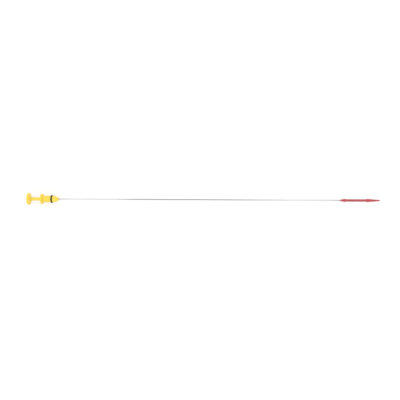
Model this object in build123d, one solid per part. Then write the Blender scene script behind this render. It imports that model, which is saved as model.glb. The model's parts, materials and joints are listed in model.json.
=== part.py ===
from build123d import *
import os
from math import asin, atan2, cos, degrees, floor, hypot, sin, sqrt, tan

# Engine oil dipstick, in millimetres: a moulded pull handle with a seal ring, a drawn wire and a moulded
# measuring tip. Every piece is drawn along +X from the flange's seat face at x = 0, with the knob at
# negative x and the tip at positive x. At the end the stick is laid down on the plane z = 0.

# Knob that the fingers pull
knob_diameter = 20.6
knob_thickness = 3.2
knob_crown = 1.0  # rise of the crowned top above its rim
knob_edge = 1.3  # rounding of the rim

# Neck between knob and flange
neck_diameter = 5.6
neck_length = 18.7
neck_knob_fillet = 1.4
neck_flange_fillet = 2.2

# Flange that stops on the mouth of the dipstick tube
flange_diameter = 17.6
flange_thickness = 3.2
flange_edge = 0.9
seat_fillet = 0.4  # root of the plug on the seat face

# Plug that goes into the tube
plug_diameter = 11.2
rear_land = 13.85  # plain length from the seat face to the gland
front_land = 1.8  # plain length between the gland and the nose
nose_length = 8.2
nose_end_diameter = 5.0
nose_curve = 24.0  # radius of the bulge of its side
nose_entry = 2.0  # rounding where the plug narrows into the nose
nose_edge = 0.8

# Seal ring and the gland that holds it
ring_cord = 2.0
ring_flat = 0.06  # depth to which the seated ring is pressed flat on the gland's floor
gland_depth = 0.5
gland_side_room = 0.2  # from the ring to each wall of the gland
gland_edge = 0.2

# Wire, with staked ears that lock both ends in their mouldings
wire_diameter = 1.5
wire_free_length = 479.0  # bare wire between the handle and the tip
wire_handle_grip = 22.0  # length moulded into the handle
wire_tip_reach = 6.0  # from the tip's front shoulder to the end of the wire
wire_end_chamfer = 0.2
stake_length = 3.0
stake_width = 1.9
stake_thickness = 0.9
stake_inset = 3.0  # from the wire's end in the handle to the first stake
stake_pitch = 7.0  # between the two stakes in the handle
stake_shoulder_gap = 1.9  # from a shoulder of the tip to the stake behind it

# Measuring tip: a double arrow whose two shoulders are the oil level marks
tip_mouth_diameter = 2.0  # lip round the wire
rear_cone_length = 8.1
mark_spacing = 37.1  # between the two shoulders
front_cone_length = 22.7
shoulder_diameter = 5.5
shoulder_back = 0.3  # axial run of each shoulder's step down to the waist
shoulder_edge = 0.12
waist_diameter = 4.0
waist_fillet = 0.2
tip_mouth_edge = 0.1
point_diameter = 1.9
point_edge = 0.6
flat_thickness = 2.5  # across the two flats, up to the front shoulder

# Cross-hatch between the marks, which holds the oil film
hatch_pitch = 2.0
hatch_angle = 45.0
hatch_depth = 0.12
hatch_margin = 1.6  # from a shoulder to the outermost crossing

# Stations along the stick
flange_back = -flange_thickness
knob_foot = flange_back - neck_length
knob_rim = knob_foot - knob_thickness
knob_apex = knob_rim - knob_crown
gland_start = rear_land
ring_centre = gland_start + gland_side_room + ring_cord / 2
gland_end = ring_centre + ring_cord / 2 + gland_side_room
land_end = gland_end + front_land
nose_end = land_end + nose_length
tip_start = nose_end + wire_free_length
rear_shoulder = tip_start + rear_cone_length
front_shoulder = rear_shoulder + mark_spacing
tip_end = front_shoulder + front_cone_length
wire_start = nose_end - wire_handle_grip
wire_end = front_shoulder + wire_tip_reach

# Radii that several pieces share
knob_radius = knob_diameter / 2
neck_radius = neck_diameter / 2
flange_radius = flange_diameter / 2
plug_radius = plug_diameter / 2
gland_radius = plug_radius - gland_depth
nose_end_radius = nose_end_diameter / 2
shoulder_radius = shoulder_diameter / 2
waist_radius = waist_diameter / 2

# Slope of the stick as it lies: the ground touches the rounding of the knob's rim and the lower flat's edge
# at the front shoulder. The flats taper so that the lower one lies on the ground from there to the point.
rim_drop = knob_radius - knob_edge
rim_station = knob_foot - knob_edge
rest_drop = rim_drop - flat_thickness / 2
rest_span = front_shoulder - rim_station
lean = atan2(rest_drop, rest_span) + asin(knob_edge / hypot(rest_drop, rest_span))
point_thickness = flat_thickness - 2 * front_cone_length * tan(lean)


def corner_at(face, x, radius):
    """The face's corner at this station and radius."""
    return face.vertices().sort_by_distance((x, radius, 0))[0]


def turned(outline, roundings):
    """Revolve an outline about the stick's axis.

    The outline runs from axis to axis. Roundings pair a radius with the (x, radius) corners that get it.
    """
    face = make_face(outline + Line(outline @ 1, outline @ 0))
    for fillet_radius, corners in roundings:
        face = fillet([corner_at(face, *corner) for corner in corners], fillet_radius)
    return revolve(face, Axis.X)


def along_x(start, end, radius):
    """A cylinder on the stick's axis between two stations."""
    return Pos((start + end) / 2, 0, 0) * Rot(0, 90, 0) * Cylinder(radius, end - start)


def make_wire():
    """Drawn wire with broken ends, and pairs of ears squeezed out sideways inside the two mouldings."""
    rod = along_x(wire_start, wire_end, wire_diameter / 2)
    rod = chamfer(rod.edges().filter_by(GeomType.CIRCLE), wire_end_chamfer)
    ear = extrude(SlotOverall(stake_length, stake_width), stake_thickness / 2, both=True)
    first_stake = wire_start + stake_inset
    stations = (
        first_stake,
        first_stake + stake_pitch,
        rear_shoulder - stake_shoulder_gap,
        front_shoulder + stake_shoulder_gap,
    )
    return rod + [Pos(x, 0, 0) * ear for x in stations]


def make_handle(wire):
    """Knob, neck, flange, glanded plug and bullet nose as one turned moulding over the wire's end."""
    crown = TangentArc((knob_apex, 0), (knob_rim, knob_radius), tangent=(0, 1))
    side = Polyline(
        (knob_rim, knob_radius),
        (knob_foot, knob_radius),
        (knob_foot, neck_radius),
        (flange_back, neck_radius),
        (flange_back, flange_radius),
        (0, flange_radius),
        (0, plug_radius),
        (gland_start, plug_radius),
        (gland_start, gland_radius),
        (gland_end, gland_radius),
        (gland_end, plug_radius),
        (land_end, plug_radius),
    )
    nose = RadiusArc((land_end, plug_radius), (nose_end, nose_end_radius), nose_curve)
    end_face = Line((nose_end, nose_end_radius), (nose_end, 0))
    roundings = (
        (knob_edge, ((knob_rim, knob_radius), (knob_foot, knob_radius))),
        (neck_knob_fillet, ((knob_foot, neck_radius),)),
        (neck_flange_fillet, ((flange_back, neck_radius),)),
        (flange_edge, ((flange_back, flange_radius), (0, flange_radius))),
        (seat_fillet, ((0, plug_radius),)),
        (gland_edge, ((gland_start, plug_radius), (gland_end, plug_radius))),
        (nose_entry, ((land_end, plug_radius),)),
        (nose_edge, ((nose_end, nose_end_radius),)),
    )
    return turned(Wire([*crown.edges(), *side.edges(), *nose.edges(), *end_face.edges()]), roundings) - wire


def make_o_ring():
    """Round-section seal ring, pressed flat where it grips the gland's floor."""
    centre_radius = gland_radius + ring_cord / 2 - ring_flat
    ring = Pos(ring_centre, 0, 0) * Rot(0, 90, 0) * Torus(centre_radius, ring_cord / 2)
    return ring - along_x(gland_start, gland_end, gland_radius)


def hatch_cuts():
    """V grooves at plus and minus the hatch angle, on both flats between the marks."""
    groove = Rot(45, 0, 0) * Box(shoulder_diameter, hatch_depth * sqrt(2), hatch_depth * sqrt(2))
    count = floor((mark_spacing - 2 * hatch_margin) / hatch_pitch) + 1
    middle = (rear_shoulder + front_shoulder) / 2
    return [
        Pos(middle, 0, side * flat_thickness / 2) * place * Rot(0, 0, angle) * groove
        for side in (1, -1)
        for angle in (hatch_angle, -hatch_angle)
        for place in GridLocations(hatch_pitch, 1, count, 1)
    ]


def make_level_tip(wire):
    """Turned double arrow with two flats that thin out towards the point, hatched between its shoulders."""
    point_radius = point_diameter / 2
    mouth_radius = tip_mouth_diameter / 2
    rear_waist = rear_shoulder + shoulder_back
    front_waist = front_shoulder - shoulder_back
    outline = Polyline(
        (tip_start, 0),
        (tip_start, mouth_radius),
        (rear_shoulder, shoulder_radius),
        (rear_waist, waist_radius),
        (front_waist, waist_radius),
        (front_shoulder, shoulder_radius),
        (tip_end, point_radius),
        (tip_end, 0),
    )
    roundings = (
        (tip_mouth_edge, ((tip_start, mouth_radius),)),
        (shoulder_edge, ((rear_shoulder, shoulder_radius), (front_shoulder, shoulder_radius))),
        (waist_fillet, ((rear_waist, waist_radius), (front_waist, waist_radius))),
        (point_edge, ((tip_end, point_radius),)),
    )
    side_view = Polyline(
        (tip_start, flat_thickness / 2),
        (front_shoulder, flat_thickness / 2),
        (tip_end, point_thickness / 2),
        (tip_end, -point_thickness / 2),
        (front_shoulder, -flat_thickness / 2),
        (tip_start, -flat_thickness / 2),
        close=True,
    )
    between_flats = extrude(Plane.XZ * make_face(side_view), shoulder_diameter, both=True)
    return (turned(Wire(outline.edges()), roundings) & between_flats) - hatch_cuts() - wire


def lie_down(pieces):
    """Lay the stick on z = 0, on its knob's rounded rim and the lower flat of its point.

    The Z axis stands midway between the knob's top and the tip's point.
    """
    lift = knob_edge + rim_drop * cos(lean) + rim_station * sin(lean)
    leaning = {name: Pos(0, 0, lift) * Rot(0, degrees(lean), 0) * piece for name, piece in pieces.items()}
    knob_end = leaning["handle"].bounding_box().min.X
    point_end = leaning["level_tip"].bounding_box().max.X
    return {name: Pos(-(knob_end + point_end) / 2, 0, 0) * piece for name, piece in leaning.items()}


wire = make_wire()
stick = lie_down(
    {
        "handle": make_handle(wire),
        "o_ring": make_o_ring(),
        "wire": wire,
        "level_tip": make_level_tip(wire),
    }
)

os.makedirs("parts", exist_ok=True)
for name, piece in stick.items():
    export_step(piece, f"parts/{name}.step")
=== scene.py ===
"""Engine oil dipstick on a white studio floor: moulded handle, seal ring, drawn wire and measuring tip.

Every surface is worked out in the stick's own frame (along the stick from the flange's seat face, across, up)
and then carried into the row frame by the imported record's tube_seat mount.
"""

import json
from types import SimpleNamespace

import bpy
import numpy as np
from bpy.props import FloatProperty, FloatVectorProperty, IntProperty, PointerProperty
from bpy.types import Operator, Panel, PropertyGroup
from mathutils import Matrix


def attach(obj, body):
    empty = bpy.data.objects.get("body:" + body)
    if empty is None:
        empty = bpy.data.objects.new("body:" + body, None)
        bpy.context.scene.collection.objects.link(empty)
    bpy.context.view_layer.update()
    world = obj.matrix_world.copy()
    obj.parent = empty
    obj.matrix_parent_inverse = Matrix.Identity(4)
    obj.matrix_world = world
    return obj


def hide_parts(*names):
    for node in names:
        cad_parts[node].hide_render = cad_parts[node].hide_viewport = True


bl_info = {
    "name": "Oil dipstick",
    "version": (1, 0, 0),
    "blender": (4, 5, 0),
    "location": "View3D > Sidebar > Dipstick",
    "description": "Builds an engine oil dipstick: moulded handle, seal ring, drawn wire and measuring tip",
    "category": "Add Mesh",
}

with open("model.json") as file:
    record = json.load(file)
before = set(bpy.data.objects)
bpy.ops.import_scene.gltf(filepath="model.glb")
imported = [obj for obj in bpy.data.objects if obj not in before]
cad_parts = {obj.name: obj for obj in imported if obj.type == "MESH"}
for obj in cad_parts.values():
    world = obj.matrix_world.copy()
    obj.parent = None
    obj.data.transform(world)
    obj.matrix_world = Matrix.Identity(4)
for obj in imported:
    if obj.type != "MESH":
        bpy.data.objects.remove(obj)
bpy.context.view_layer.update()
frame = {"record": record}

MM = 0.001
BODY = "root"
SEAT = next(mount for mount in frame["record"]["mounts"] if mount["name"] == "tube_seat")
SEAT_CENTRE = np.array(SEAT["pos_m"])
ALONG = np.array(SEAT["axis"]) / np.linalg.norm(SEAT["axis"])
ACROSS = np.array([0.0, 1.0, 0.0])
STICK_AXES = np.stack([ALONG, ACROSS, np.cross(ALONG, ACROSS)])

# How finely the surfaces are divided
TINY = 1e-9  # metres: nearer points are one point
SUPPORT = 0.06 * MM  # from a run's end to the point that keeps smooth shading out of the run
SHORT_RUN = 0.5 * MM  # shorter runs belong to arcs, which stay smooth
ARC_POINTS = 14  # on each rounding of the handle
FINE_ARC_POINTS = 7  # on each rounding of the tip
CURVE_POINTS = 24  # on the knob's crown, and on the nose's side
RIM_POINTS = 13  # along the flange's rim, where the gate's stub stands
CORD_FLASH = np.linspace(-1.5, 1.5, 7)  # points on the ring's mould line, in half widths of its flash
CORD_POINTS = 90  # round the rest of the ring's cord
WIRE_STATIONS = 240
WIRE_COLUMNS = 40

# Columns beside a parting line, in half widths of its flash
GATE_TOP = 3.2  # half the width of the gate's stub at its top
GATE_FOOT = 4.0  # and at its foot
FLASH_COLUMNS = np.array([0.0, 0.5, 1.0, 1.5, GATE_TOP, GATE_FOOT, 4.8])
MOST_FLASH_ANGLE = 0.2  # radians that one half width may take up near the axis
SIDE_COLUMNS = np.array([0.06, 0.12, 0.25, 0.5, 0.75])  # on the tip's round sides, from parting line to flat
MOST_SIDE_ANGLE = 1.2  # radians from the tip's parting plane to its flats, where it is too thin for flats


def length(name, description, millimetres, least=0.0):
    """A length property. Its default is given in millimetres, and its least value in metres."""
    return FloatProperty(
        name=name, description=description, default=millimetres * MM, min=least, precision=5, unit="LENGTH"
    )


def level(name, description, default):
    """A property for an amount of light, where 1 is white."""
    return FloatProperty(
        name=name, description=description, default=default, min=0.0, soft_max=1.0, subtype="FACTOR"
    )


def colour(name, description, linear):
    """A colour property in linear red, green and blue."""
    return FloatVectorProperty(
        name=name, description=description, default=linear, size=3, min=0.0, max=1.0, subtype="COLOR"
    )


class HandleSizes(PropertyGroup):
    """Sizes of the moulded handle"""

    knob_diameter: length("Knob diameter", "Across the knob's rim", 20.6)
    knob_thickness: length("Knob thickness", "Height of the knob's rim", 3.2)
    knob_crown: length("Knob crown", "Rise of the knob's top above its rim", 1.0)
    knob_edge: length("Knob edge", "Rounding of the knob's rim", 1.3)
    neck_diameter: length("Neck diameter", "Across the neck", 5.6)
    neck_length: length("Neck length", "From the knob to the flange", 18.7)
    neck_knob_fillet: length("Knob fillet", "Rounding where the neck meets the knob", 1.4)
    neck_flange_fillet: length("Flange fillet", "Rounding where the neck meets the flange", 2.2)
    flange_diameter: length("Flange diameter", "Across the flange", 17.6)
    flange_thickness: length("Flange thickness", "Height of the flange", 3.2)
    flange_edge: length("Flange edge", "Rounding of the flange's rim", 0.9)
    seat_fillet: length("Seat fillet", "Rounding where the plug meets the seat face", 0.4)
    plug_diameter: length("Plug diameter", "Across the plug", 11.2)
    rear_land: length("Rear land", "From the seat face to the gland", 13.85)
    front_land: length("Front land", "From the gland to the nose", 1.8)
    nose_length: length("Nose length", "Length of the bullet nose", 8.2)
    nose_end_diameter: length("Nose end diameter", "Across the nose's end face", 5.0)
    nose_curve: length("Nose curve", "Radius of the bulge of the nose's side", 24.0)
    nose_entry: length("Nose entry", "Rounding where the plug narrows into the nose", 2.0)
    nose_edge: length("Nose edge", "Rounding of the nose's end", 0.8)
    gland_depth: length("Gland depth", "Depth of the ring's groove", 0.5)
    gland_side_room: length("Gland side room", "From the ring to each wall of its groove", 0.2)
    gland_edge: length("Gland edge", "Rounding of the groove's edges", 0.2)
    bore_gap: length("Bore gap", "Shrink gap round the wire", 0.02)
    bore_edge: length("Bore edge", "Rounding of the bore's mouth", 0.1)
    flash_width: length("Flash half width", "Half the width of the parting line", 0.12)
    flash_height: length("Flash height", "Height of the parting line", 0.035)
    gate_length: length("Gate length", "Length of the gate's stub on the flange", 1.1)
    gate_edge: length("Gate edge", "Run of the stub's two ends", 0.1)
    gate_height: length("Gate height", "Height of the gate's stub on the flange", 0.12)


class RingSizes(PropertyGroup):
    """Sizes of the seal ring"""

    cord: length("Cord", "Thickness of the ring's cord", 2.0)
    flat: length("Flat", "Depth to which the ring is pressed flat on the gland's floor", 0.06)
    flash_width: length("Flash half width", "Half the width of the ring's mould line", 0.1)
    flash_height: length("Flash height", "Height of the ring's mould line", 0.04)


class WireSizes(PropertyGroup):
    """Sizes of the drawn wire"""

    diameter: length("Diameter", "Thickness of the wire", 1.5)
    free_length: length("Free length", "Bare wire between handle and tip", 479.0)
    handle_grip: length("Handle grip", "Length inside the handle", 22.0)
    tip_reach: length("Tip reach", "From the tip's front shoulder to the wire's end", 6.0)
    end_chamfer: length("End chamfer", "Broken edge at the wire's ends", 0.2)
    waviness: length("Waviness", "What the straightening rolls left", 0.1)
    # Painted shade on the wire fades over this length from each moulding
    shade_length: length("Film length", "Over which the dull film fades from each moulding", 9.0)


class TipSizes(PropertyGroup):
    """Sizes of the measuring tip"""

    mouth_diameter: length("Mouth diameter", "Across the lip round the wire", 2.0)
    mouth_edge: length("Mouth edge", "Rounding of the lip", 0.1)
    bore_edge: length("Bore edge", "Rounding of the bore's mouth", 0.05)
    rear_cone_length: length("Rear cone length", "From the lip to the rear shoulder", 8.1)
    mark_spacing: length("Mark spacing", "Between the two shoulders", 37.1)
    front_cone_length: length("Front cone length", "From the front shoulder to the point", 22.7)
    shoulder_diameter: length("Shoulder diameter", "Across the two shoulders", 5.5)
    shoulder_back: length("Shoulder back", "Run of each shoulder's step", 0.3)
    shoulder_edge: length("Shoulder edge", "Rounding of the shoulders", 0.12)
    waist_diameter: length("Waist diameter", "Across the stem between the shoulders", 4.0)
    waist_fillet: length("Waist fillet", "Rounding at the foot of each step", 0.2)
    point_diameter: length("Point diameter", "Across the blunt point", 1.9)
    point_edge: length("Point edge", "Rounding of the point", 0.6)
    flat_thickness: length("Flat thickness", "Across the two flats", 2.5)
    point_thickness: length("Point thickness", "Across the flats at the point", 1.784)
    hatch_pitch: length("Hatch pitch", "Between the grooves of the cross-hatch", 2.0)
    hatch_depth: length("Hatch depth", "Depth of the grooves", 0.12)
    hatch_margin: length("Hatch margin", "From a shoulder to the outermost crossing", 1.6)
    hatch_step: length("Hatch step", "Mesh spacing across the grooves", 0.065)
    flash_width: length("Flash half width", "Half the width of the parting line", 0.09)
    flash_height: length("Flash height", "Height of the parting line", 0.03)


class Finish(PropertyGroup):
    """Colours of the four materials"""

    yellow: colour("Yellow", "Moulded handle", (0.925, 0.695, 0.072))
    # Deep yellow: the tone of slowly flowed plastic, and also painted shade in the concave roundings
    yellow_deep_and_shade: colour("Deep yellow", "Handle where the plastic flowed slowly", (0.88, 0.61, 0.047))
    rubber: colour("Rubber", "Seal ring", (0.011, 0.011, 0.012))
    rubber_bloom: colour("Rubber bloom", "Grey film on the seal ring", (0.05, 0.05, 0.052))
    steel: colour("Steel", "Drawn wire", (0.585, 0.583, 0.575))
    steel_streak: colour("Steel streak", "Darker drawing lines", (0.42, 0.416, 0.412))
    # Steel shade: painted shade on the wire beside the mouldings
    steel_shade: colour("Steel film", "Dull film on the wire beside the mouldings", (0.3, 0.294, 0.284))
    red: colour("Red", "Measuring tip", (0.485, 0.054, 0.066))
    # Deep red: the tone of slowly flowed plastic, and painted shade in the hatch's grooves
    red_deep_and_shade: colour("Deep red", "Measuring tip in its grooves", (0.36, 0.031, 0.04))
    # Matt red: painted sheen, a paler red standing in for the light that the textured stem scatters
    red_matt_sheen: colour("Matt red", "Textured stem of the measuring tip", (0.495, 0.088, 0.105))


class StageSettings(PropertyGroup):
    """Camera, floor and light"""

    camera_height: length("Camera height", "Above the floor", 850.0)
    camera_along: length("Camera along", "Camera's place along the stick", -7.9, least=-10.0)
    camera_across: length("Camera across", "Camera's place across the stick", -0.5, least=-10.0)
    camera_roll: FloatProperty(
        name="Camera roll", description="Turn of the picture", default=0.0049, subtype="ANGLE"
    )
    lens: FloatProperty(name="Lens", description="Focal length", default=44.685, min=1.0, unit="CAMERA")
    floor_size: length("Floor size", "Side of the square floor", 12000.0)
    floor_drop: length("Floor drop", "From the surface that the stick lies on down to the floor", 0.05)
    floor_paint: level("Floor paint", "Share of the light that the floor throws back at the stick", 0.9)
    floor_glow: level("Floor glow", "White that the floor shows even in the shadow", 0.695)
    floor_shade: level("Floor shade", "Share of the light that the floor shows besides, less the shadow", 0.3)
    overhead: level("Overhead", "Light of the gap overhead", 0.45)
    sides: level("Sides", "Light that each side adds to that", 0.92)
    tip_end_loss: level("Tip end loss", "Light that the tip's end of the dome lacks", 0.15)
    horizon: level("Horizon", "Share of the light that is left at the horizon", 0.8)


class DipstickSettings(PropertyGroup):
    """Everything that a user would change"""

    handle: PointerProperty(type=HandleSizes)
    ring: PointerProperty(type=RingSizes)
    wire: PointerProperty(type=WireSizes)
    tip: PointerProperty(type=TipSizes)
    finish: PointerProperty(type=Finish)
    stage: PointerProperty(type=StageSettings)
    columns: IntProperty(name="Columns", description="Faces round half a moulding", default=80, min=16)


def stations(settings):
    """Places along the stick, in metres from the flange's seat face towards the tip."""
    handle, ring, wire, tip = settings.handle, settings.ring, settings.wire, settings.tip
    at = SimpleNamespace(flange_back=-handle.flange_thickness, gland_start=handle.rear_land)
    at.knob_foot = at.flange_back - handle.neck_length
    at.knob_rim = at.knob_foot - handle.knob_thickness
    at.knob_apex = at.knob_rim - handle.knob_crown
    at.ring_centre = at.gland_start + handle.gland_side_room + ring.cord / 2
    at.gland_end = at.ring_centre + ring.cord / 2 + handle.gland_side_room
    at.land_end = at.gland_end + handle.front_land
    at.nose_end = at.land_end + handle.nose_length
    at.tip_start = at.nose_end + wire.free_length
    at.rear_shoulder = at.tip_start + tip.rear_cone_length
    at.front_shoulder = at.rear_shoulder + tip.mark_spacing
    at.waist_middle = (at.rear_shoulder + at.front_shoulder) / 2
    at.tip_end = at.front_shoulder + tip.front_cone_length
    at.wire_start = at.nose_end - wire.handle_grip
    at.wire_end = at.front_shoulder + wire.tip_reach
    return at


def distinct(line):
    """The line without points that repeat the one before."""
    steps = np.linalg.norm(np.diff(line, axis=0), axis=1)
    return line[np.concatenate([[True], steps > TINY])]


def rounded(corners, radii, count):
    """A line of (along, radius) points through the corners, each inner one swept into an arc of its radius.

    The arc leaves the run radius / tan(half the corner's angle) before the corner, and turns by pi less that
    angle about a centre that lies the radius to the inside of the run. Each arc gets count points.
    """
    corners = np.array(corners, float)
    inner, radius = corners[1:-1], np.array(radii, float)[:, None]
    back, ahead = corners[:-2] - inner, corners[2:] - inner
    back /= np.linalg.norm(back, axis=1, keepdims=True)
    ahead /= np.linalg.norm(ahead, axis=1, keepdims=True)
    half = np.arccos(np.clip((back * ahead).sum(1, keepdims=True), -1.0, 1.0)) / 2
    side = np.sign(back[:, :1] * ahead[:, 1:] - back[:, 1:] * ahead[:, :1])
    inward = side * np.stack([-back[:, 1], back[:, 0]], axis=1)
    centre = inner + back * radius / np.tan(half) + inward * radius
    turn = ((np.pi - 2 * half) * np.linspace(0.0, 1.0, count))[:, :, None]
    spoke = inward[:, None] * np.cos(turn) + back[:, None] * np.sin(turn)
    arcs = centre[:, None] - radius[:, None] * spoke
    return distinct(np.vstack([corners[:1], arcs.reshape(-1, 2), corners[-1:]]))


def bulged(start, end, radius, count):
    """Points of the arc of a radius between two points, which bulges to the left of the way between them.

    Its centre lies sqrt(radius^2 - (half the chord)^2) to the right of the chord's middle.
    """
    start, end = np.array(start), np.array(end)
    half = (end - start) / 2
    left = np.array([-half[1], half[0]]) / np.linalg.norm(half)
    centre = start + half - left * np.sqrt(radius**2 - half @ half)
    first, last = (np.arctan2(*(place - centre)[::-1]) for place in (start, end))
    turn = np.linspace(first, last, count)
    return centre + radius * np.stack([np.cos(turn), np.sin(turn)], axis=1)


def supported(line):
    """The line with points just inside the ends of its longer runs, which keep smooth shading in the arcs."""
    run = np.diff(line, axis=0)
    size = np.linalg.norm(run, axis=1, keepdims=True)
    share = np.where(size > SHORT_RUN, SUPPORT / size, 0.0)
    points = np.stack([line[:-1], line[:-1] + run * share, line[1:] - run * share], axis=1)
    return distinct(np.vstack([points.reshape(-1, 2), line[-1:]]))


def outward(line):
    """Unit normals of a line, on the left of its direction."""
    run = np.gradient(line, axis=0)
    run /= np.linalg.norm(run, axis=1, keepdims=True)
    return np.stack([-run[:, 1], run[:, 0]], axis=1)


def bend(line):
    """Curvature of a line in 1/metres, positive to the right: each point's turn over its two runs' mean."""
    run = np.diff(line, axis=0)
    heading = np.unwrap(np.arctan2(run[:, 1], run[:, 0]))
    size = np.linalg.norm(run, axis=1)
    turn = np.diff(heading) / ((size[1:] + size[:-1]) / 2)
    return np.concatenate([[0.0], -turn, [0.0]])[:, None]


def smooth_box(distance, half, edge):
    """1 within half of zero distance and 0 beyond half + edge, with a cubic fall between them."""
    fall = np.clip((half + edge - np.abs(distance)) / edge, 0.0, 1.0)
    return fall * fall * (3 - 2 * fall)


def flash_ridge(up, width, height):
    """Height of a parting line on the plane up = 0: height * (1 - (up / width)^2)^2 within its half width."""
    return height * (1 - np.minimum((up / width) ** 2, 1.0)) ** 2


def moulding_columns(radius, flash_width, count):
    """Angles round the axis for each station: evenly spaced, with more on and beside the parting plane."""
    step = np.arcsin(np.minimum(flash_width / np.maximum(radius, flash_width), MOST_FLASH_ANGLE))
    near = step[:, None] * FLASH_COLUMNS
    first, last = near[:, -1:], np.pi - near[:, -1:]
    even = first + (last - first) * np.linspace(0.0, 1.0, count)[1:-1]
    half_turn = np.hstack([near, even, np.pi - near[:, :0:-1]])
    return np.hstack([half_turn, half_turn + np.pi])


def to_row(points):
    """Points (along, across, up) of the stick's frame in the row frame."""
    return SEAT_CENTRE + points @ STICK_AXES


def grid_faces(rows, columns, has_poles):
    """Faces of a grid whose last column joins its first: its quads, then the triangles on its two poles.

    The poles are the two points after the grid's own. Without poles the last row joins the first instead.
    """
    place = np.arange(rows * columns).reshape(rows, columns)
    start, end = (place[:-1], place[1:]) if has_poles else (place, np.roll(place, -1, axis=0))
    quads = np.stack([start, np.roll(start, -1, axis=1), np.roll(end, -1, axis=1), end], axis=-1)
    faces = quads.reshape(-1, 4).tolist()
    if has_poles:
        pole = np.full(columns, place.size)
        faces += np.stack([pole, np.roll(place[0], -1), place[0]], axis=-1).tolist()
        faces += np.stack([pole + 1, place[-1], np.roll(place[-1], -1)], axis=-1).tolist()
    return faces


def unrolled_map(grid, around, has_poles):
    """Map of the face corners of grid_faces, in metres: U along the rows and V round the columns.

    U adds up the steps along the first column, and V grows evenly to around, the length of one turn.
    """
    columns = grid.shape[1]
    steps = np.linalg.norm(np.diff(grid[:, 0], axis=0), axis=1)
    u = np.concatenate([[0.0], np.cumsum(steps)])
    v = np.linspace(0.0, around, columns + 1)
    u_start, u_end = (u[:-1], u[1:]) if has_poles else (u, np.append(u[1:], u[-1]))
    quad_u = np.stack([u_start, u_start, u_end, u_end], axis=-1)[:, None].repeat(columns, axis=1)
    quad_v = np.stack([v[:-1], v[1:], v[1:], v[:-1]], axis=-1)[None].repeat(len(u_start), axis=0)
    corners = [np.stack([quad_u, quad_v], axis=-1).reshape(-1, 2)]
    if has_poles:
        first_v = np.stack([v[:-1], v[1:], v[:-1]], axis=-1).ravel()
        last_v = np.stack([v[:-1], v[:-1], v[1:]], axis=-1).ravel()
        corners += [np.stack([np.full(len(first_v), u[0]), first_v], axis=-1)]
        corners += [np.stack([np.full(len(last_v), u[-1]), last_v], axis=-1)]
    return np.vstack(corners)


def closed_mesh(name, grid, poles, around, attributes):
    """A closed mesh of a grid of rows by columns in the stick's frame, with its map and its named numbers.

    Poles are the two points that close the first and last row. An empty list closes the rows on each other.
    """
    rows, columns = grid.shape[:2]
    points = np.vstack([grid.reshape(-1, 3), *poles])
    mesh = bpy.data.meshes.new(name)
    mesh.from_pydata(to_row(points).tolist(), [], grid_faces(rows, columns, bool(poles)))
    corners = unrolled_map(grid, around, bool(poles)).astype(np.float32)
    mesh.uv_layers.new(name="Unrolled").data.foreach_set("uv", corners.ravel())
    for label, values in attributes.items():
        numbers = np.zeros(len(points), np.float32)
        numbers[: rows * columns] = np.broadcast_to(values, (rows, columns)).ravel()
        mesh.attributes.new(label, "FLOAT", "POINT").data.foreach_set("value", numbers)
    mesh.shade_smooth()
    mesh.validate()
    return mesh


def add_piece(mesh, material, node):
    """Show the mesh in place of a CAD node, with its material and the body that it rides on."""
    mesh.materials.append(material)
    piece = bpy.data.objects.new(mesh.name, mesh)
    bpy.context.scene.collection.objects.link(piece)
    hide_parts(node)
    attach(piece, BODY)


def handle_line(settings):
    """The handle's (along, radius) outline, from the crown's apex over the outside and down the wire's bore.

    The crown is a circle that is square to the axis at the apex and passes through the rim. The nose's side
    is an arc from the plug to the end face's edge. The points on the crown, the nose and the flange's rim
    stop short of the next rounding.
    """
    sizes, at = settings.handle, stations(settings)
    knob, neck, flange = sizes.knob_diameter / 2, sizes.neck_diameter / 2, sizes.flange_diameter / 2
    plug, nose = sizes.plug_diameter / 2, sizes.nose_end_diameter / 2
    gland, bore = plug - sizes.gland_depth, settings.wire.diameter / 2 + sizes.bore_gap
    crown_radius = (knob**2 + sizes.knob_crown**2) / (2 * sizes.knob_crown)
    crown_end, rim_end = knob - 1.3 * sizes.knob_edge, 1.05 * sizes.flange_edge
    out = np.linspace(0.0, crown_end, CURVE_POINTS)
    crown = np.stack([at.knob_apex + crown_radius - np.sqrt(crown_radius**2 - out**2), out], axis=1)
    bullet = bulged((at.land_end, plug), (at.nose_end, nose), sizes.nose_curve, CURVE_POINTS)
    bullet = bullet[bullet[:, 0] < at.nose_end - sizes.nose_edge]
    rim = np.linspace(at.flange_back + rim_end, -rim_end, RIM_POINTS)
    corners = [
        ((at.knob_rim, knob), sizes.knob_edge),
        ((at.knob_foot, knob), sizes.knob_edge),
        ((at.knob_foot, neck), sizes.neck_knob_fillet),
        ((at.flange_back, neck), sizes.neck_flange_fillet),
        ((at.flange_back, flange), sizes.flange_edge),
        *(((x, flange), 0.0) for x in rim),
        ((0.0, flange), sizes.flange_edge),
        ((0.0, plug), sizes.seat_fillet),
        ((at.gland_start, plug), sizes.gland_edge),
        ((at.gland_start, gland), 0.0),
        ((at.gland_end, gland), 0.0),
        ((at.gland_end, plug), sizes.gland_edge),
        ((at.land_end, plug), sizes.nose_entry),
        *((tuple(point), 0.0) for point in bullet[1:]),
        ((at.nose_end, nose), sizes.nose_edge),
        ((at.nose_end, bore), sizes.bore_edge),
        ((at.wire_start, bore), 0.0),
    ]
    places = [*map(tuple, crown), *(place for place, _ in corners), (at.wire_start, 0.0)]
    radii = [0.0] * (len(crown) - 1) + [radius for _, radius in corners]
    return supported(rounded(places, radii, ARC_POINTS))


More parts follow.
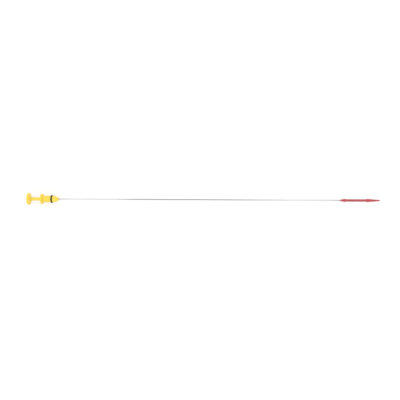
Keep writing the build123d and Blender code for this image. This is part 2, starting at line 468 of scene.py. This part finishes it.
def handle_mesh(settings):
    """The handle: its outline turned about the stick, raised at the parting plane and at the gate's stub.

    A point (x, r) of the outline becomes (x, r cos a, r sin a) at each angle a, after it has moved out along
    the outline's normal by the height of the parting line and the stub there. Beside the ring the parting
    line is dressed down. The numbers edge and hollow_shade are the outline's curvature as a share of
    1 / edge_radius and 1 / hollow_shade_radius; hollow_shade is where painted shade darkens the hollows.
    """
    sizes, at = settings.handle, stations(settings)
    dressed, edge_radius, hollow_shade_radius = 0.7, 0.8 * MM, 1.2 * MM
    line = handle_line(settings)[1:-1]
    ahead, radius = line[:, :1], line[:, 1:]
    angle = moulding_columns(line[:, 1], sizes.flash_width, settings.columns)
    across, up = radius * np.cos(angle), radius * np.sin(angle)
    by_ring = smooth_box(ahead - at.ring_centre, settings.ring.cord, settings.ring.cord / 2)
    flash = flash_ridge(up, sizes.flash_width, sizes.flash_height) * (1 - dressed * by_ring)
    gate = smooth_box(ahead - at.flange_back / 2, sizes.gate_length / 2, sizes.gate_edge)
    gate = gate * smooth_box(up, GATE_TOP * sizes.flash_width, (GATE_FOOT - GATE_TOP) * sizes.flash_width)
    gate = gate * (across > 0)
    in_bore = (radius < settings.wire.diameter / 2 + 2 * sizes.bore_gap) & (ahead > 0)
    raised = np.where(in_bore, 0.0, flash + sizes.gate_height * gate)
    normal = outward(line)
    ahead, radius = ahead + normal[:, :1] * raised, radius + normal[:, 1:] * raised
    grid = np.stack([ahead, radius * np.cos(angle), radius * np.sin(angle)], axis=-1)
    attributes = {
        "edge": np.clip(bend(line) * edge_radius, 0.0, 1.0),
        # Painted shade: how strongly the concave roundings are darkened towards deep yellow
        "hollow_shade": np.clip(-bend(line) * hollow_shade_radius, 0.0, 1.0),
        "gate": gate,
    }
    poles = [(at.knob_apex - sizes.flash_height, 0.0, 0.0), (at.wire_start, 0.0, 0.0)]
    return closed_mesh("handle_moulding", grid, poles, np.pi * sizes.plug_diameter, attributes)


def ring_mesh(settings):
    """The seal ring: a circle of half the cord carried round the stick.

    The circle is cut straight at the gland's floor, and its outermost line carries the mould's flash.
    """
    sizes, handle, at = settings.ring, settings.handle, stations(settings)
    cord, floor = sizes.cord / 2, handle.plug_diameter / 2 - handle.gland_depth
    flash = CORD_FLASH * sizes.flash_width / cord
    section = np.concatenate([flash, np.linspace(flash[-1], 2 * np.pi + flash[0], CORD_POINTS)[1:-1]])
    swell = flash_ridge(np.sin(section) * cord, sizes.flash_width, sizes.flash_height) * (np.cos(section) > 0)
    radius = floor + cord - sizes.flat + (cord + swell) * np.cos(section)
    radius = np.maximum(radius, floor)
    turn = np.linspace(0.0, 2 * np.pi, 3 * settings.columns, endpoint=False)[:, None]
    ahead = np.broadcast_to(at.ring_centre - cord * np.sin(section), (len(turn), len(section)))
    grid = np.stack([ahead, radius * np.cos(turn), radius * np.sin(turn)], axis=-1)
    return closed_mesh("seal_ring", grid, [], np.pi * sizes.cord, {"flash": swell / sizes.flash_height})


def wire_mesh(settings):
    """The wire: a circle carried along the stick, with broken end edges.

    Its line wanders by slow waves, waviness * (0.6 sin 9 pi t + 0.4 sin 14 pi t) across and
    waviness * 0.5 sin 11 pi t up, with t from 0 at the nose to 1 at the tip, and both times sin^2 pi t. The
    painted shade on it fades as exp(-distance / shade_length) from each moulding.
    """
    sizes, at = settings.wire, stations(settings)
    radius, chamfer = sizes.diameter / 2, sizes.end_chamfer
    bare = np.linspace(at.nose_end, at.tip_start, WIRE_STATIONS)
    start, end = [at.wire_start, at.wire_start + chamfer], [at.wire_end - chamfer, at.wire_end]
    ahead = np.concatenate([start, bare, end])[:, None]
    thick = np.full(ahead.shape, radius)
    thick[[0, -1]] = radius - chamfer
    share = np.clip((ahead - at.nose_end) / sizes.free_length, 0.0, 1.0) * np.pi
    waviness = sizes.waviness * np.sin(share) ** 2
    sideways = waviness * (0.6 * np.sin(9 * share) + 0.4 * np.sin(14 * share))
    lift = waviness * 0.5 * np.sin(11 * share)
    angle = np.linspace(0.0, 2 * np.pi, WIRE_COLUMNS, endpoint=False)
    across, up = sideways + thick * np.cos(angle), lift + thick * np.sin(angle)
    grid = np.stack([np.broadcast_to(ahead, across.shape), across, up], axis=-1)
    away = np.maximum(np.minimum(ahead - at.nose_end, at.tip_start - ahead), 0.0)
    poles = [(at.wire_start, 0.0, 0.0), (at.wire_end, 0.0, 0.0)]
    # How strongly painted shade darkens the wire beside the mouldings
    attributes = {"moulding_shade": np.exp(-away / sizes.shade_length)}
    return closed_mesh("drawn_wire", grid, poles, np.pi * sizes.diameter, attributes)


def tip_line(settings):
    """The tip's (along, radius) outline, from the bore's end over the lip and the double arrow to the point.

    The stem has a station for each step across the hatch.
    """
    sizes, at = settings.tip, stations(settings)
    shoulder, waist, point = sizes.shoulder_diameter / 2, sizes.waist_diameter / 2, sizes.point_diameter / 2
    bore = settings.wire.diameter / 2 + settings.handle.bore_gap
    foot, head = at.rear_shoulder + sizes.shoulder_back, at.front_shoulder - sizes.shoulder_back
    hatched = np.arange(foot + sizes.waist_fillet, head - sizes.waist_fillet, sizes.hatch_step)[1:]
    corners = [
        ((at.wire_end, bore), 0.0),
        ((at.tip_start, bore), sizes.bore_edge),
        ((at.tip_start, sizes.mouth_diameter / 2), sizes.mouth_edge),
        ((at.rear_shoulder, shoulder), sizes.shoulder_edge),
        ((foot, waist), sizes.waist_fillet),
        *(((x, waist), 0.0) for x in hatched),
        ((head, waist), sizes.waist_fillet),
        ((at.front_shoulder, shoulder), sizes.shoulder_edge),
        ((at.tip_end, point), sizes.point_edge),
    ]
    places = [(at.wire_end, 0.0), *(place for place, _ in corners), (at.tip_end, 0.0)]
    return supported(rounded(places, [radius for _, radius in corners], FINE_ARC_POINTS))


def tip_columns(radius, half_thickness, step):
    """Angles round the tip for each station: even steps of width over both flats, even turns over both sides.

    A flat ends where the round side has its height, at asin(half thickness / radius) from the parting plane.
    """
    corner = np.arcsin(np.minimum(half_thickness / radius, np.sin(MOST_SIDE_ANGLE)))
    widest = 2 * np.median(radius * np.cos(corner))
    width = np.linspace(1.0, -1.0, int(widest / step) + 1)
    flat = np.arctan2(np.ones(len(width)), width / np.tan(corner)[:, None])
    side = np.concatenate([-SIDE_COLUMNS[::-1], [0.0], SIDE_COLUMNS]) * corner[:, None]
    return np.hstack([side, flat, np.pi + side, np.pi + flat])


def hatch_grooves(ahead, across, sizes):
    """Depth of the cross-hatch: V grooves along across = +-(ahead - k * pitch), with sides at 45 degrees.

    Ahead is measured from the middle of the stem. The numbers k lie evenly about 0, up to the hatch's margin.
    """
    most = np.floor((sizes.mark_spacing - 2 * sizes.hatch_margin) / sizes.hatch_pitch) / 2
    offset = most % 1.0
    depth = 0.0
    for lean in (1.0, -1.0):
        place = ahead - lean * across
        count = np.clip(np.round(place / sizes.hatch_pitch - offset) + offset, -most, most)
        away = np.abs(place - count * sizes.hatch_pitch) * np.sqrt(0.5)
        depth = np.maximum(depth, np.maximum(sizes.hatch_depth - away, 0.0))
    return depth


def tip_mesh(settings):
    """The tip: its outline turned about the stick, cut by two flats that thin out to the point, and hatched.

    A point of the outline stands at angle a at min(r, half thickness / |sin a|) from the axis, plus the
    parting line's height on the round sides. Its height is then limited to half the thickness less the depth
    of the grooves. The number edge is the outline's curvature as a share of 1 / edge_radius, groove is what
    the hatch cut away as a share of its depth, and matt is 1 on the stem.
    """
    sizes, at = settings.tip, stations(settings)
    edge_radius = 0.3 * MM
    line = tip_line(settings)[1:-1]
    ahead, radius = line[:, :1], line[:, 1:]
    thinning = np.clip((ahead - at.front_shoulder) / sizes.front_cone_length, 0.0, 1.0)
    half = (sizes.flat_thickness + (sizes.point_thickness - sizes.flat_thickness) * thinning) / 2
    angle = tip_columns(radius[:, 0], half[:, 0], sizes.hatch_step)
    steep = np.abs(np.sin(angle))
    reach = np.minimum(radius, half / np.maximum(steep, TINY))
    lip = (settings.wire.diameter + sizes.mouth_diameter) / 4
    in_bore = np.arange(len(line))[:, None] < np.argmax(radius > lip)
    on_side = (steep < 0.5) & ~in_bore
    flash = flash_ridge(reach * np.sin(angle), sizes.flash_width, sizes.flash_height)
    reach = reach + np.where(on_side, flash, 0.0)
    across, up = reach * np.cos(angle), reach * np.sin(angle)
    groove = hatch_grooves(ahead - at.waist_middle, across, sizes)
    limit = np.where(in_bore, radius, half - groove)
    cut = np.maximum(np.abs(up) - limit, 0.0)
    grid = np.stack([np.broadcast_to(ahead, up.shape), across, np.clip(up, -limit, limit)], axis=-1)
    stem = sizes.mark_spacing / 2 - sizes.hatch_margin
    attributes = {
        "edge": np.clip(bend(line) * edge_radius, 0.0, 1.0),
        "groove": cut / sizes.hatch_depth,
        "matt": smooth_box(ahead - at.waist_middle, stem, sizes.hatch_margin / 2),
    }
    poles = [(at.wire_end, 0.0, 0.0), (at.tip_end, 0.0, 0.0)]
    return closed_mesh("measuring_tip", grid, poles, np.pi * sizes.waist_diameter, attributes)


class Value:
    """A node's output. Arithmetic on it adds Math nodes to its tree."""

    def __init__(self, graph, socket):
        self.graph, self.socket = graph, socket

    def maths(self, operation, first, second):
        return self.graph.node("ShaderNodeMath", {"operation": operation}, {0: first, 1: second})

    def __add__(self, other):
        return self.maths("ADD", self, other)

    def __sub__(self, other):
        return self.maths("SUBTRACT", self, other)

    def __rsub__(self, other):
        return self.maths("SUBTRACT", other, self)

    def __mul__(self, other):
        return self.maths("MULTIPLY", self, other)

    __radd__ = __add__
    __rmul__ = __mul__


class Graph:
    """The node tree of a material or world, written as Python expressions."""

    def __init__(self, owner):
        owner.use_nodes = True
        self.tree = owner.node_tree
        self.tree.nodes.clear()

    def node(self, kind, settings=None, inputs=None, output=0):
        """Add a node with its settings and its sockets' values or links, and give one of its outputs."""
        made = self.tree.nodes.new(kind)
        for name, value in (settings or {}).items():
            setattr(made, name, value)
        for name, value in (inputs or {}).items():
            if isinstance(value, Value):
                self.tree.links.new(value.socket, made.inputs[name])
            else:
                made.inputs[name].default_value = value
        return Value(self, made.outputs[output]) if made.outputs else None

    def place(self):
        """Object coordinates, which are metres in the row frame."""
        return self.node("ShaderNodeTexCoord", output="Object")

    def attribute(self, name):
        """A number that the mesh holds at its points."""
        return self.node("ShaderNodeAttribute", {"attribute_name": name}, output="Fac")

    def noise(self, place, size, detail, stretch=None):
        """Noise from 0 to 1 whose features measure about size metres, drawn out along axes by 1 / stretch."""
        if stretch:
            place = self.node("ShaderNodeMapping", inputs={"Vector": place, "Scale": stretch})
        return self.node("ShaderNodeTexNoise", inputs={"Vector": place, "Scale": 1 / size, "Detail": detail})

    def step(self, value, low, high):
        """Smooth rise from 0 at low to 1 at high."""
        inputs = {"Value": value, "From Min": low, "From Max": high}
        return self.node("ShaderNodeMapRange", {"interpolation_type": "SMOOTHSTEP"}, inputs)

    def mix(self, share, first, second):
        """Colour between two colours."""
        inputs = {0: share, 6: first, 7: second}
        return self.node("ShaderNodeMix", {"data_type": "RGBA"}, inputs, output=2)

    def bump(self, height, depth, normal=None):
        """Surface normal of a height from 0 to 1 that stands for a depth in metres."""
        inputs = {"Height": height, "Distance": depth, "Strength": 1.0}
        if normal:
            inputs["Normal"] = normal
        return self.node("ShaderNodeBump", inputs=inputs)

    def surface(self, inputs):
        """Finish the tree with a Principled surface."""
        shader = self.node("ShaderNodeBsdfPrincipled", inputs=inputs)
        self.node("ShaderNodeOutputMaterial", inputs={"Surface": shader})


def new_material(name):
    """A new material and its empty graph."""
    material = bpy.data.materials.new(name)
    return material, Graph(material)


def rgba(linear):
    """A colour with full alpha."""
    return (*linear, 1.0)


def grey(amount):
    """A grey with full alpha."""
    return rgba((amount, amount, amount))


def rubbed(linear, gain, white=0.02):
    """A colour where it is rubbed: brighter by a gain, with a little white in it."""
    return rgba(min(1.0, channel * gain + white) for channel in linear)


def yellow_moulding(finish):
    """Satin nylon: spark-eroded grain, slow flow clouds, rubbed edges, a torn gate and painted shade in the
    hollows.
    """
    material, graph = new_material("yellow_moulding")
    place = graph.place()
    edge, hollow_shade, gate = (graph.attribute(name) for name in ("edge", "hollow_shade", "gate"))
    flow = graph.noise(place, size=9 * MM, detail=3.0, stretch=(0.35, 1.0, 1.0))
    grain = graph.noise(place, size=0.22 * MM, detail=3.0)
    swell = graph.noise(place, size=2.6 * MM, detail=1.0)
    scuff = graph.step(graph.noise(place, size=0.5 * MM, detail=4.0, stretch=(0.25, 1.0, 1.0)), 0.58, 0.7)
    # Painted shade: concave roundings turn deep yellow, besides the real flow clouds and the gate's tone
    deep_and_shade = graph.step(flow, 0.35, 0.75) * 0.45 + hollow_shade * 0.5 + gate * 0.25
    base = graph.mix(deep_and_shade, rgba(finish.yellow), rgba(finish.yellow_deep_and_shade))
    base = graph.mix(edge * scuff * 0.7, base, rubbed(finish.yellow, gain=1.08))
    rough = 0.3 + flow * 0.06 + grain * 0.05 + scuff * 0.08 + edge * 0.06 + gate * 0.2
    normal = graph.bump(swell, depth=0.03 * MM)
    normal = graph.bump(grain, depth=0.02 * MM, normal=normal)
    graph.surface({"Base Color": base, "Roughness": rough, "Normal": normal, "IOR": 1.5})
    return material


def black_rubber(finish):
    """Nitrile rubber: fine matt grain, a grey bloom in patches and a trimmed mould line."""
    material, graph = new_material("black_rubber")
    place = graph.place()
    flash = graph.attribute("flash")
    patch = graph.noise(place, size=3.5 * MM, detail=4.0)
    grain = graph.noise(place, size=0.12 * MM, detail=2.0)
    bloom = graph.step(patch, 0.5, 0.78) * 0.5 + flash * 0.25
    base = graph.mix(bloom, rgba(finish.rubber), rgba(finish.rubber_bloom))
    rough = 0.42 + patch * 0.16 + grain * 0.08 + flash * 0.1
    normal = graph.bump(grain, depth=0.008 * MM)
    dull = {"IOR": 1.52, "Specular IOR Level": 0.3}
    graph.surface({"Base Color": base, "Roughness": rough, "Normal": normal, **dull})
    return material


def drawn_steel(finish):
    """Bright spring wire: drawing lines, slow changes of sheen, rub marks, and painted shade beside the
    mouldings.
    """
    material, graph = new_material("drawn_steel")
    place = graph.node("ShaderNodeUVMap", {"uv_map": "Unrolled"})
    streak = graph.noise(place, size=0.16 * MM, detail=3.0, stretch=(0.012, 1.0, 1.0))
    cloud = graph.noise(place, size=14 * MM, detail=3.0, stretch=(0.5, 3.0, 1.0))
    rub = graph.step(graph.noise(place, size=0.3 * MM, detail=4.0, stretch=(0.5, 0.6, 1.0)), 0.62, 0.72)
    dark = graph.step(streak, 0.42, 0.72) * 0.55 + graph.step(cloud, 0.5, 0.85) * 0.3
    # Painted shade: the wire is darker, and also rougher, beside the mouldings, fading away from each
    moulding_shade = graph.attribute("moulding_shade") * (0.75 + cloud * 0.4)
    base = graph.mix(dark, rgba(finish.steel), rgba(finish.steel_streak))
    base = graph.mix(moulding_shade, base, rgba(finish.steel_shade))
    rough = 0.04 + streak * 0.05 + cloud * 0.03 + rub * 0.1 + moulding_shade * 0.15
    normal = graph.bump(streak, depth=0.004 * MM)
    graph.surface({"Base Color": base, "Roughness": rough, "Normal": normal, "Metallic": 1.0})
    return material


def red_moulding(finish):
    """Satin red nylon: fine grain, flow clouds, rubbed edges, painted shade in grooves, painted sheen on the
    matt, oil-holding stem.
    """
    material, graph = new_material("red_moulding")
    place = graph.place()
    edge, groove, matt = (graph.attribute(name) for name in ("edge", "groove", "matt"))
    flow = graph.noise(place, size=5 * MM, detail=3.0, stretch=(0.3, 1.0, 1.0))
    grain = graph.noise(place, size=0.15 * MM, detail=3.0)
    # Painted shade: the hatch's grooves darken towards deep red, besides the real flow clouds
    deep_and_shade = graph.step(flow, 0.35, 0.75) * 0.45 + groove * 0.6
    # Painted sheen: the matt stem is coloured a paler red
    base = graph.mix(matt, rgba(finish.red), rgba(finish.red_matt_sheen))
    base = graph.mix(deep_and_shade, base, rgba(finish.red_deep_and_shade))
    base = graph.mix(edge * 0.5, base, rubbed(finish.red, gain=1.2))
    rough = 0.32 + flow * 0.08 + grain * 0.06 + matt * 0.22 - groove * 0.08
    normal = graph.bump(grain, depth=0.008 * MM)
    graph.surface({"Base Color": base, "Roughness": rough, "Normal": normal, "IOR": 1.5})
    return material


class DIPSTICK_OT_handle(Operator):
    """Build the moulded handle: knob, neck, flange, glanded plug and bullet nose"""

    bl_idname = "dipstick.handle"
    bl_label = "Handle"

    def execute(self, context):
        settings = context.scene.dipstick
        add_piece(handle_mesh(settings), yellow_moulding(settings.finish), "handle")
        return {"FINISHED"}


class DIPSTICK_OT_seal_ring(Operator):
    """Build the seal ring in the handle's gland"""

    bl_idname = "dipstick.seal_ring"
    bl_label = "Seal ring"

    def execute(self, context):
        settings = context.scene.dipstick
        add_piece(ring_mesh(settings), black_rubber(settings.finish), "o_ring")
        return {"FINISHED"}


class DIPSTICK_OT_wire(Operator):
    """Build the drawn wire from the handle to the tip"""

    bl_idname = "dipstick.wire"
    bl_label = "Wire"

    def execute(self, context):
        settings = context.scene.dipstick
        add_piece(wire_mesh(settings), drawn_steel(settings.finish), "wire")
        return {"FINISHED"}


class DIPSTICK_OT_level_tip(Operator):
    """Build the measuring tip, a double arrow with a hatched waist"""

    bl_idname = "dipstick.level_tip"
    bl_label = "Measuring tip"

    def execute(self, context):
        settings = context.scene.dipstick
        add_piece(tip_mesh(settings), red_moulding(settings.finish), "level_tip")
        return {"FINISHED"}


def white_floor(stage):
    """White for the camera, most of it the floor's own, so that a faint part of the stick's shadow stays."""
    material, graph = new_material("white_floor")
    rays = ("Is Camera Ray", "Is Glossy Ray", "Is Transmission Ray")
    direct, mirrored, through = (graph.node("ShaderNodeLightPath", output=ray) for ray in rays)
    seen = direct + mirrored + through
    paint = graph.node("ShaderNodeBsdfDiffuse", inputs={"Color": grey(stage.floor_paint)})
    shade = graph.node("ShaderNodeBsdfDiffuse", inputs={"Color": grey(stage.floor_shade)})
    glow = graph.node("ShaderNodeEmission", inputs={"Strength": stage.floor_glow})
    white = graph.node("ShaderNodeAddShader", inputs={0: glow, 1: shade})
    floor = graph.node("ShaderNodeMixShader", inputs={0: seen, 1: paint, 2: white})
    graph.node("ShaderNodeOutputMaterial", inputs={"Surface": floor})
    return material


def add_floor(stage):
    """A square floor under the stick."""
    half, drop = stage.floor_size / 2, -stage.floor_drop
    corners = [(-half, -half, drop), (half, -half, drop), (half, half, drop), (-half, half, drop)]
    mesh = bpy.data.meshes.new("floor")
    mesh.from_pydata(corners, [], [(0, 1, 2, 3)])
    mesh.materials.append(white_floor(stage))
    floor = bpy.data.objects.new("floor", mesh)
    bpy.context.scene.collection.objects.link(floor)


def add_world(stage):
    """Soft white dome: a bright side beyond each end of the stick, a dim gap overhead, less at the horizon.

    A side opens where the part of a direction along X passes its two edges, between which it rises smoothly.
    The right side opens in two steps of half its light. The camera sees plain white.
    """
    left_edge, right_edge, right_glow = (0.122, 0.13), (0.108, 0.155), (0.135, 0.22)
    loss_edge, horizon_edge = (0.22, 0.35), (0.0, 0.5)
    world = bpy.data.worlds.new("studio")
    graph = Graph(world)
    heading = graph.node("ShaderNodeTexCoord", output="Generated")
    along = graph.node("ShaderNodeSeparateXYZ", inputs={0: heading}, output="X")
    up = graph.node("ShaderNodeSeparateXYZ", inputs={0: heading}, output="Z")
    left = graph.step(along * -1.0, *left_edge)
    right = graph.step(along, *right_edge) * 0.5 + graph.step(along, *right_glow) * 0.5
    dome = stage.overhead + (left + right) * stage.sides - graph.step(along, *loss_edge) * stage.tip_end_loss
    dome = dome * (stage.horizon + (1 - stage.horizon) * graph.step(up, *horizon_edge))
    camera_ray = graph.node("ShaderNodeLightPath", output="Is Camera Ray")
    strength = camera_ray + dome * (1 - camera_ray)
    background = graph.node("ShaderNodeBackground", inputs={"Color": grey(1.0), "Strength": strength})
    graph.node("ShaderNodeOutputWorld", inputs={"Surface": background})
    bpy.context.scene.world = world


def add_camera(stage):
    """Camera straight above the stick."""
    camera = bpy.data.objects.new("camera", bpy.data.cameras.new("camera"))
    camera.data.sensor_width = 36.0
    camera.data.lens = stage.lens
    camera.data.clip_start = 10 * MM
    camera.location = (stage.camera_along, stage.camera_across, stage.camera_height)
    camera.rotation_euler = (0.0, 0.0, stage.camera_roll)
    bpy.context.scene.collection.objects.link(camera)
    bpy.context.scene.camera = camera


class DIPSTICK_OT_stage(Operator):
    """Set the floor, the light and the camera"""

    bl_idname = "dipstick.stage"
    bl_label = "Stage"

    def execute(self, context):
        stage = context.scene.dipstick.stage
        add_floor(stage)
        add_world(stage)
        add_camera(stage)
        context.scene.view_settings.view_transform = "Standard"
        return {"FINISHED"}


GROUPS = (HandleSizes, RingSizes, WireSizes, TipSizes, Finish, StageSettings, DipstickSettings)
OPERATORS = (
    DIPSTICK_OT_handle,
    DIPSTICK_OT_seal_ring,
    DIPSTICK_OT_wire,
    DIPSTICK_OT_level_tip,
    DIPSTICK_OT_stage,
)


class DIPSTICK_PT_sidebar(Panel):
    """Sizes and pieces of the dipstick"""

    bl_label = "Dipstick"
    bl_space_type = "VIEW_3D"
    bl_region_type = "UI"
    bl_category = "Dipstick"

    def draw(self, context):
        settings = context.scene.dipstick
        self.layout.prop(settings, "columns")
        for group in ("handle", "ring", "wire", "tip", "finish", "stage"):
            box = self.layout.box()
            sizes = getattr(settings, group)
            for name in sizes.__annotations__:
                box.prop(sizes, name)
        for operator in OPERATORS:
            self.layout.operator(operator.bl_idname)


CLASSES = (*GROUPS, *OPERATORS, DIPSTICK_PT_sidebar)


def register():
    """Add the classes and the scene's settings."""
    for kind in CLASSES:
        bpy.utils.register_class(kind)
    bpy.types.Scene.dipstick = PointerProperty(type=DipstickSettings)


def unregister():
    """Take the settings and the classes away again."""
    del bpy.types.Scene.dipstick
    for kind in reversed(CLASSES):
        bpy.utils.unregister_class(kind)


def main():
    """Build every piece and the stage."""
    register()
    bpy.ops.dipstick.handle()
    bpy.ops.dipstick.seal_ring()
    bpy.ops.dipstick.wire()
    bpy.ops.dipstick.level_tip()
    bpy.ops.dipstick.stage()
    bpy.context.view_layer.update()


if __name__ == "__main__":
    main()
